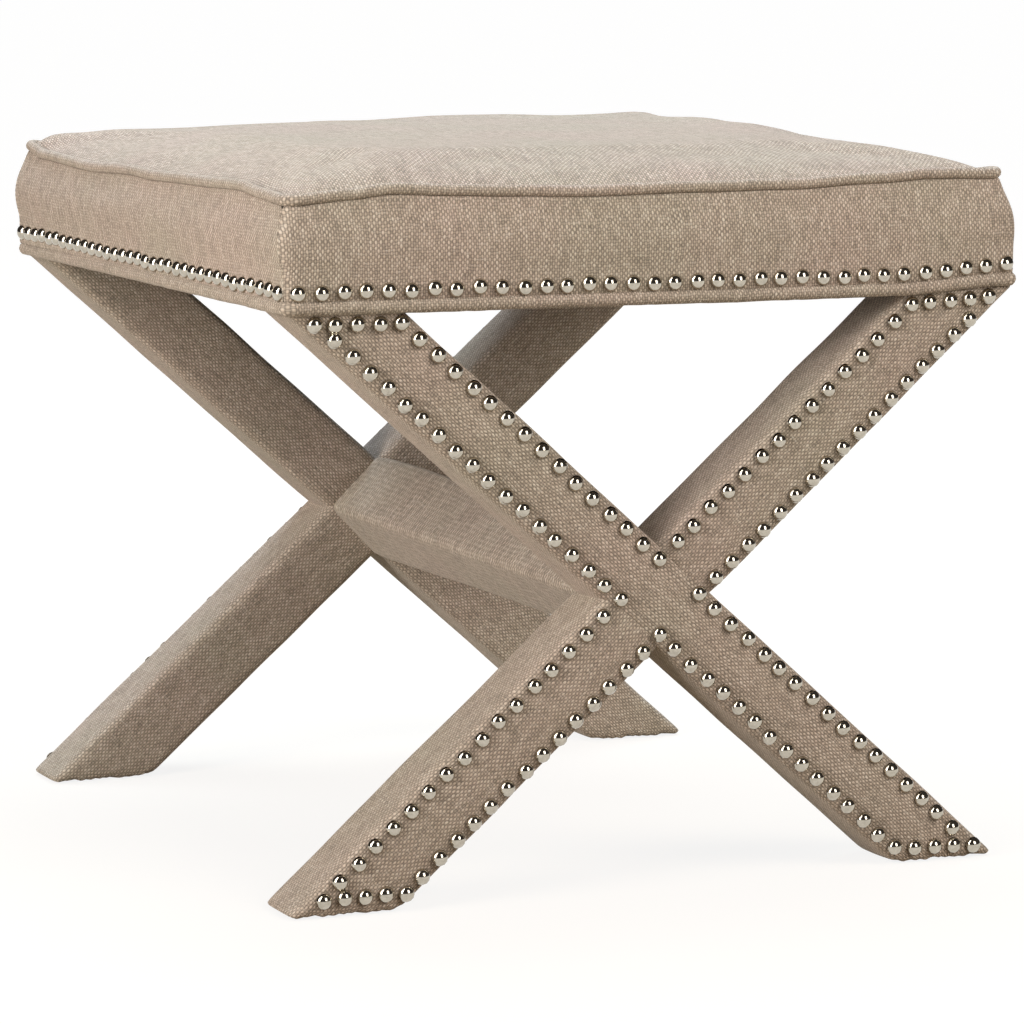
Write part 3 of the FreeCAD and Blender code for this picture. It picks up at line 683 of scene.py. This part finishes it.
def placeFrameNails():
    spec = frameNails
    across = bars["faceWidth"] / 2 - spec["inset"]
    half = (bars["top"] - bars["foot"]) / 2
    angle = bars["angle"]
    places = []
    for side in (1, -1):
        for end in (1, -1):
            corners = []
            endRise = half - (spec["footInset"] if end == 1 else spec["topInset"])
            for edge in (1, -1):
                reach = (endRise * end + edge * across * math.cos(angle)) / math.sin(angle)
                tip = legPoint(reach, edge * across, side)
                turn = across / math.tan(angle) if edge == end else across * math.tan(angle)
                row = spaced(tip, legPoint(end * turn, edge * across, side), spec["pitch"])
                into = Vector((0, 0, 0))
                if edge == end == -1:  # the top rows run on into the sharp corner
                    into.x = -side * spec["topReach"]
                if edge == end == side == 1:  # and one foot row does
                    into = Vector((spec["footReach"], 0, -spec["footDroop"]))
                corners.append(tip + into)
                places += row[1:] if side == 1 else row[1:-1]
            ending = spaced(corners[0], corners[1], spec["pitch"])
            places += [place + Vector((0, 0, lowerLift(place.x, spec["faceY"]) if end == -1 else 0))
                       for place in ending]
    chance = random.Random(41)
    wander = spec["wander"]
    return [place + Vector((chance.uniform(-wander, wander), spec["faceY"], chance.uniform(-wander, wander)))
            for place in places]


frameNailPlaces = placeFrameNails()


def paddedBar(name, side):
    spec = bars
    width, depth = spec["faceWidth"], spec["depth"]
    halfWidth, halfDepth = width / 2, depth / 2
    deselectAll()
    bpy.ops.mesh.primitive_cube_add(size=1)
    bar = namePiece(name)
    bpy.ops.object.mode_set(mode="EDIT")
    bpy.ops.transform.resize(value=(spec["length"], depth, width))
    roundAndCut(bar, 0, spec["length"], spec)

    def unrolled(place, face):  # round the bar, starting at the middle of the outer face
        normal = face.normal
        if abs(normal.y) >= abs(normal.z):
            girth = place.z if normal.y < 0 else 2 * halfWidth + 2 * halfDepth - place.z
        else:
            girth = halfWidth + halfDepth + place.y if normal.z > 0 else -halfWidth - halfDepth - place.y
        return (girth + spec["clothStart"], place.x)

    layCloth(bar, unrolled)
    for vertex in bar.data.vertices:  # stuffed a little fuller along the middle of each face
        x, y, z = vertex.co
        flatZ = 1 - (z / halfWidth) ** 2
        flatY = 1 - (y / halfDepth) ** 2
        uneven = spec["unevenness"] * ripple((x, y, z), 45 * mm, 6.0 + side)
        if abs(y) > halfDepth - spec["puffBand"]:
            vertex.co.y += math.copysign(1, y) * (spec["puff"] * flatZ + uneven)
        if abs(z) > halfWidth - spec["puffBand"]:
            vertex.co.z += math.copysign(1, z) * (spec["puff"] * flatY + uneven)
    tilt = spec["angle"] if side == 1 else math.pi - spec["angle"]
    bar.rotation_euler = (0, tilt, 0)
    bar.location = (0, spec["middleY"], spec["crossLevel"])
    bpy.ops.object.transform_apply(location=True, rotation=True, scale=True)
    cutAway(bar, (0, 0, spec["cutTop"]), (0, 0, 1))
    cutAway(bar, (0, 0, spec["cutFoot"]), (0, 0, -1))
    return bar


def drawFootIn(vertex):  # the cloth is drawn over the edge of the foot
    spec = bars
    curve = spec["footRound"]
    low = vertex.co.z - spec["cutFoot"]
    if low < curve:
        inset = (curve - math.sqrt(max(curve ** 2 - (curve - low) ** 2, 0))) * spec["footDraw"]
        middle = Vector((math.copysign(spec["footX"], vertex.co.x), spec["middleY"], vertex.co.z))
        away = vertex.co - middle
        vertex.co -= Vector((math.copysign(min(inset, abs(away.x)), away.x),
                             math.copysign(min(inset, abs(away.y)), away.y), 0))


def dimpleNails(vertex):  # each nail draws the cloth in
    spec = frameNails
    core, rim = spec["dimpleSpan"]
    if vertex.co.y < spec["faceY"] + spec["faceBand"]:
        for nail in frameNailPlaces:
            distance = math.hypot(vertex.co.x - nail.x, vertex.co.z - nail.z)
            if distance < rim:
                vertex.co.y += spec["dimple"] * (1 - easeBetween(distance, core, rim))


def tuckSeam(vertex, place, inward):  # an arm's cover is tucked in beside the through leg
    spec = bars
    reach = spec["overlap"] + spec["tuckReach"]
    distance = (vertex.co - place).dot(inward)
    if distance < reach:
        pull = spec["seamTuck"] * (1 - easeBetween(distance, spec["overlap"], reach))
        middle = vertex.co.y - spec["middleY"]
        vertex.co.y -= math.copysign(min(pull, abs(middle)), middle)


def finishBar(bar, seamPlanes):
    for vertex in bar.data.vertices:
        drawFootIn(vertex)
        dimpleNails(vertex)
        for place, inward in seamPlanes:
            tuckSeam(vertex, place, inward)
    applyModifier(bar, "SUBSURF", levels=1, render_levels=1)
    smoothShade(bar, 65)


def copyToRear(piece, name):  # same frame, turned round
    twin = piece.copy()
    twin.data = piece.data.copy()
    rename(twin, name)
    scene.collection.objects.link(twin)
    makeActive(twin)
    twin.rotation_euler = (0, 0, math.pi)
    bpy.ops.object.transform_apply(location=True, rotation=True, scale=True)
    return twin


across = Vector((math.sin(bars["angle"]), 0, math.cos(bars["angle"])))
crossMiddle = Vector((0, bars["middleY"], bars["crossLevel"]))
frameBars = {"through_leg": paddedBar("front_through_leg_padded", 1)}
finishBar(frameBars["through_leg"], [])
for name, sign in (("upper_arm", 1), ("lower_arm", -1)):
    arm = paddedBar("front_%s_padded" % name, -1)
    reach = bars["faceWidth"] / 2 - bars["overlap"]
    place = crossMiddle + across * (sign * reach)
    cutAway(arm, place, across * -sign)
    finishBar(arm, [(place, across * sign)])
    frameBars[name] = arm
for name, bar in frameBars.items():
    rearBar = copyToRear(bar, "rear_%s_padded" % name)
    for end, piece in (("front", bar), ("rear", rearBar)):
        dress(piece, linen, "linen", "%s_%s_cover" % (end, name), "%s_%s_wadding" % (end, name))
print("frame bars made")


# Stretcher: diamond bar between the two crossings

stretcher = {
    "halfWidth": 37.98 * mm, "halfHeight": 33.2 * mm, "endY": 209 * mm, "edgeRound": 5 * mm, "edgeSteps": 3,
    "ringPitch": 5 * mm, "acrossCuts": 8, "flatLeast": 20 * mm, "clothStart": 0.7,
    "slack": 1.1 * mm, "fill": 0.5 * mm, "endDraw": 1.2 * mm, "endReach": 25 * mm,
    "fuller": 0.09, "bunched": 0.06, "bunchSpan": (-60 * mm, 190 * mm),
}


def makeStretcher():
    spec = stretcher
    length = 2 * spec["endY"]
    deselectAll()
    bpy.ops.mesh.primitive_cylinder_add(vertices=4, radius=1, depth=length, end_fill_type="NGON",
                                        rotation=(math.pi / 2, 0, 0))
    bar = namePiece("stretcher_padded")
    bpy.ops.object.transform_apply(location=True, rotation=True, scale=True)
    for vertex in bar.data.vertices:  # corners on the axes
        vertex.co.x = round(vertex.co.x) * spec["halfWidth"]
        vertex.co.z = round(vertex.co.z) * spec["halfHeight"] + bars["crossLevel"]
    roundAndCut(bar, 1, length, spec)
    side = math.hypot(spec["halfWidth"], spec["halfHeight"])

    def unrolled(place, face):
        climb = ((place.z - bars["crossLevel"]) / spec["halfHeight"] + 1) / 2 * side
        return (place.y, spec["clothStart"] + (climb if face.normal.x < 0 else 2 * side - climb))

    layCloth(bar, unrolled)
    for vertex in bar.data.vertices:
        x, y, z = vertex.co
        away = vertex.co - Vector((0, y, bars["crossLevel"]))
        loose = spec["slack"] * ripple((x, y * 0.5, z), 40 * mm, 12.0)
        nearEnd = easeBetween(abs(y), spec["endY"] - spec["endReach"], spec["endY"])
        vertex.co += away.normalized() * (loose + spec["fill"] - spec["endDraw"] * nearEnd)
        # deeper than the core, and bunched towards the back
        vertex.co.z += away.z * (spec["fuller"] + spec["bunched"] * easeBetween(y, *spec["bunchSpan"]))
    applyModifier(bar, "SUBSURF", levels=1, render_levels=1)
    smoothShade(bar, 65)
    return bar


stretcherBar = makeStretcher()
dress(stretcherBar, linen, "linen", "stretcher_cover", "stretcher_wadding")
print("stretcher made")


# Dome nails: one nail modelled, then copied to every place

nailShape = {"radius": 5.3 * mm, "height": 4 * mm, "segments": 12, "steps": [0.35, 0.72, 1.02, 1.32],
             "shank": 0.9 * mm, "shankLength": 9 * mm}
seatNails = {"half": 251 * mm, "corner": 6 * mm, "sideCorner": 10 * mm, "pitch": 14.7 * mm,
             "level": 385.2 * mm, "standOut": 1.9 * mm, "wander": 0.8 * mm, "tilt": 5.0,
             "leftClimb": 2.4 * mm, "climbSpan": (-150 * mm, 240 * mm)}


def modelNail():  # along +Z, flat underside at the origin
    spec = nailShape
    deselectAll()
    bpy.ops.mesh.primitive_circle_add(vertices=spec["segments"], radius=spec["radius"], fill_type="NGON")
    nail = namePiece("dome_nail")
    choose(nail, "FACE", lambda face: True)
    lastRadius, lastLevel = spec["radius"], 0.0
    for step in spec["steps"]:
        radius, level = spec["radius"] * math.cos(step), spec["height"] * math.sin(step)
        bpy.ops.mesh.extrude_region_move(TRANSFORM_OT_translate={"value": (0, 0, level - lastLevel)})
        bpy.ops.transform.resize(value=(radius / lastRadius, radius / lastRadius, 1))
        lastRadius, lastLevel = radius, level
    bpy.ops.mesh.poke()
    bpy.ops.object.mode_set(mode="OBJECT")
    for vertex in nail.data.vertices:
        if vertex.co.xy.length < touching:
            vertex.co.z = spec["height"]
    choose(nail, "EDGE", lambda edge: edge.is_boundary)
    bpy.ops.mesh.edge_face_add()
    choose(nail, "FACE", lambda face: abs(face.calc_center_median().z) < touching)
    bpy.ops.mesh.inset(thickness=spec["radius"] - spec["shank"])
    bpy.ops.mesh.extrude_region_move(TRANSFORM_OT_translate={"value": (0, 0, -spec["shankLength"])})
    bpy.ops.mesh.merge(type="CENTER")
    bpy.ops.mesh.select_all(action="SELECT")
    bpy.ops.mesh.normals_make_consistent(inside=False)
    bpy.ops.object.mode_set(mode="OBJECT")
    smoothShade(nail, 50)
    return nail


def nailRow(name, nail, places, spin, chance, tilt):
    copies = []
    outward = spin @ Vector((0, -1, 0))
    turn = outward.to_track_quat("Z", "Y").to_matrix().to_4x4()
    for place in places:
        lean = Matrix.Rotation(math.radians(chance.uniform(-tilt, tilt)), 4, "X")
        lean = lean @ Matrix.Rotation(math.radians(chance.uniform(-tilt, tilt)), 4, "Y")
        copy = nail.copy()
        copy.data = nail.data.copy()
        copy.data.transform(Matrix.Translation(place) @ turn @ lean)
        scene.collection.objects.link(copy)
        copies.append(copy)
    deselectAll()
    for copy in copies:
        copy.select_set(True)
    bpy.context.view_layer.objects.active = copies[0]
    bpy.ops.object.join()
    return namePiece(name)


def placeSeatNails(side, spin, chance):
    spec = seatNails
    wander = spec["wander"]
    reach = spec["half"] - (spec["corner"] if side in ("front", "back") else spec["sideCorner"])
    row = spaced(Vector((-reach, 0, 0)), Vector((reach, 0, 0)), spec["pitch"])
    places = [spin @ Vector((place.x + chance.uniform(-wander, wander), -spec["half"] - spec["standOut"],
                             spec["level"] + chance.uniform(-wander, wander))) for place in row]
    places = [place + Vector((stripLean(place.x, place.y), 0, lowerLift(place.x, place.y)))
              for place in places]
    if side == "left":  # this row climbs towards the back
        places = [place + Vector((0, 0, spec["leftClimb"] * easeBetween(place.y, *spec["climbSpan"])))
                  for place in places]
    return places


domeNail = modelNail()
chance = random.Random(7)
for turn, side in enumerate(("front", "right", "back", "left")):
    spin = Matrix.Rotation(turn * math.pi / 2, 3, "Z")
    places = placeSeatNails(side, spin, chance)
    nails = nailRow("seat_%s_dome_nails" % side, domeNail, places, spin, chance, seatNails["tilt"])
    dress(nails, nickel, "nickel", "seat_%s_nails" % side)
for end, spin in (("front", Matrix.Identity(3)), ("rear", Matrix.Rotation(math.pi, 3, "Z"))):
    places = [spin @ (place - Vector((0, frameNails["standOut"], 0))) for place in frameNailPlaces]
    nails = nailRow("%s_frame_dome_nails" % end, domeNail, places, spin, chance, frameNails["tilt"])
    dress(nails, nickel, "nickel", "%s_frame_nails" % end)
bpy.data.objects.remove(domeNail)
print("nails made")


# Dust cover under the seat, notched round the legs and sagging a little

dustCover = {"half": 240.8 * mm, "level": 370.4 * mm, "cuts": 48, "sag": 3.5 * mm, "sagPower": 4,
             "sagUneven": 0.3, "thickness": 0.5 * mm, "notchX": 171 * mm, "notchY": 202.5 * mm}


def makeDustCover():
    spec = dustCover
    deselectAll()
    bpy.ops.mesh.primitive_grid_add(x_subdivisions=spec["cuts"], y_subdivisions=spec["cuts"],
                                    size=2 * spec["half"], location=(0, 0, spec["level"]))
    cloth = namePiece("dust_cover_cloth")
    bpy.ops.object.transform_apply(location=True, rotation=True, scale=True)
    for normal, place in ((Vector((1, 0, 0)), spec["notchX"]), (Vector((0, 1, 0)), spec["notchY"])):
        for sign in (-1, 1):
            choose(cloth, "FACE", lambda face: True)
            bpy.ops.mesh.bisect(plane_co=normal * (sign * place), plane_no=normal)
    choose(cloth, "FACE", lambda face: abs(face.calc_center_median().x) > spec["notchX"]
           and abs(face.calc_center_median().y) > spec["notchY"])
    bpy.ops.mesh.delete(type="FACE")
    bpy.ops.object.mode_set(mode="OBJECT")
    for vertex in cloth.data.vertices:
        x, y = vertex.co.x / spec["half"], vertex.co.y / spec["half"]
        hang = max((1 - x ** spec["sagPower"]) * (1 - y ** spec["sagPower"]), 0.0)
        vertex.co.z -= spec["sag"] * hang * (1 + spec["sagUneven"] * ripple(vertex.co, 90 * mm, 15.0))
    applyModifier(cloth, "SOLIDIFY", thickness=spec["thickness"], offset=0.0)
    smoothShade(cloth, 40)
    return cloth


dustCloth = makeDustCover()
dress(dustCloth, cambric, "dust_cloth", "dust_cover")
side = 2 * dustCover["half"]
print("dust cover made")


# Finishes of the solids that stay

keptFinish = {
    "front_rail": beechAlongX, "back_rail": beechAlongX, "left_rail": beechAlongY, "right_rail": beechAlongY,
    "rail_dowels": dowelWood, "seat_deck": plywood, "deck_screws": zincSteel, "leg_screws": zincSteel,
    "leg_screw_washers": zincSteel, "stretcher_bolts": zincSteel, "stretcher_bolt_washers": zincSteel,
    "stretcher_dowels": dowelWood, "stretcher_core": beechAlongY,
}
for end in ("front", "rear"):
    for name in ("through_leg", "upper_arm", "lower_arm"):
        keptFinish["%s_%s_core" % (end, name)] = beechAlongX
    keptFinish["%s_arm_dowels" % end] = dowelWood
    for hand in ("left", "right"):
        keptFinish["%s_%s_glide" % (end, hand)] = nylon
for name, material in keptFinish.items():
    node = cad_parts[name]
    node.data.materials.clear()
    node.data.materials.append(material)
print("kept solids finished:", len(keptFinish))


# Floor, light and camera, in metres

studio = {"floorSize": 90, "floorTone": "#a39785", "shadowTone": "#6c655a", "glowTone": "#ffffff",
          "nearGlow": 0.86, "farGlow": 0.985, "glowSpan": (0.4, 2.2),
          "worldTone": "#fff4ea", "worldStrength": 0.055, "aim": (0, 0, 0.3)}
lamps = {  # the two cards are seen only in the polished nails
    "softbox_left": {"place": (-2.3, -0.8, 1.05), "size": (1.1, 1.7), "watts": 65, "tone": "#fffaf6"},
    "softbox_right": {"place": (1.7, -2.3, 2.1), "size": (2.0, 1.9), "watts": 84, "tone": "#fffaf4",
                      "unseen": "visible_glossy"},
    "card_left": {"place": (-2.0, -0.9, 2.7), "size": (1.1, 2.0), "watts": 39, "tone": "#fffaf6",
                  "unseen": "visible_diffuse"},
    "card_front": {"place": (0.85, -2.75, 1.35), "size": (1.0, 1.8), "watts": 39, "tone": "#fffaf4",
                   "unseen": "visible_diffuse"},
    "softbox_top": {"place": (0.25, 0.8, 2.2), "size": (1.6, 1.6), "watts": 62, "tone": "#d9ecff",
                    "unseen": "visible_glossy"},
}


def makeFloor():
    spec = studio
    deselectAll()
    bpy.ops.mesh.primitive_plane_add(size=spec["floorSize"])
    floor = namePiece("floor")
    material, tree = newMaterial("floor_paper_matt")
    rays = addNode(tree, "ShaderNodeLightPath")
    seen = maths(tree, "MAXIMUM", rays.outputs["Is Camera Ray"], rays.outputs["Is Glossy Ray"])
    shown = maths(tree, "MAXIMUM", seen, rays.outputs["Is Transmission Ray"])
    paper = addNode(tree, "ShaderNodeBsdfDiffuse", {"Color": hexColour(spec["floorTone"])})
    dim = addNode(tree, "ShaderNodeBsdfDiffuse", {"Color": hexColour(spec["shadowTone"])})
    place = addNode(tree, "ShaderNodeTexCoord")
    away = addNode(tree, "ShaderNodeVectorMath", {0: place.outputs["Object"]}, operation="LENGTH")
    level = addNode(tree, "ShaderNodeMapRange", {
        "Value": away.outputs["Value"], "From Min": spec["glowSpan"][0], "From Max": spec["glowSpan"][1],
        "To Min": spec["nearGlow"], "To Max": spec["farGlow"]})
    glow = addNode(tree, "ShaderNodeEmission", {"Color": hexColour(spec["glowTone"]),
                                                "Strength": level.outputs[0]})
    white = addNode(tree, "ShaderNodeAddShader", {0: dim.outputs[0], 1: glow.outputs[0]})
    mixed = addNode(tree, "ShaderNodeMixShader", {0: shown, 1: paper.outputs[0], 2: white.outputs[0]})
    addNode(tree, "ShaderNodeOutputMaterial", {"Surface": mixed.outputs[0]})
    floor.data.materials.append(material)


def makeLamp(name, spec):
    light = bpy.data.lights.new(name, "AREA")
    light.shape = "RECTANGLE"
    light.size, light.size_y = spec["size"]
    light.energy = spec["watts"]
    light.color = hexColour(spec["tone"])[:3]
    lamp = bpy.data.objects.new(name, light)
    lamp.location = spec["place"]
    toAim = Vector(studio["aim"]) - Vector(spec["place"])
    lamp.rotation_euler = toAim.to_track_quat("-Z", "Y").to_euler()
    scene.collection.objects.link(lamp)
    if "unseen" in spec:
        setattr(lamp, spec["unseen"], False)


makeFloor()
world = bpy.data.worlds.new("studio")
scene.world = world
world.use_nodes = True
worldShade = world.node_tree.nodes["Background"]
worldShade.inputs["Color"].default_value = hexColour(studio["worldTone"])
worldShade.inputs["Strength"].default_value = studio["worldStrength"]
for name, spec in lamps.items():
    makeLamp(name, spec)

view = {"place": (-1.2075, -2.6617, 0.6132), "yaw": 0.4298, "pitch": -0.1377, "roll": 0.0083,
        "lens": 152.63, "sensor": 36, "farthest": 200}


def makeCamera():
    yaw, pitch, roll = view["yaw"], view["pitch"], view["roll"]
    forward = Vector((math.sin(yaw) * math.cos(pitch), math.cos(yaw) * math.cos(pitch), math.sin(pitch)))
    level = Vector((math.cos(yaw), -math.sin(yaw), 0))
    upright = level.cross(forward)
    rightward = math.cos(roll) * level + math.sin(roll) * upright
    upward = -math.sin(roll) * level + math.cos(roll) * upright
    optics = bpy.data.cameras.new("photo_view")
    optics.lens = view["lens"]
    optics.sensor_width = view["sensor"]
    optics.clip_end = view["farthest"]
    camera = bpy.data.objects.new("photo_view", optics)
    turned = Matrix((rightward, upward, -forward)).transposed().to_4x4()
    camera.matrix_world = Matrix.Translation(view["place"]) @ turned
    scene.collection.objects.link(camera)
    scene.camera = camera


makeCamera()
print("studio set")

bpy.context.view_layer.update()
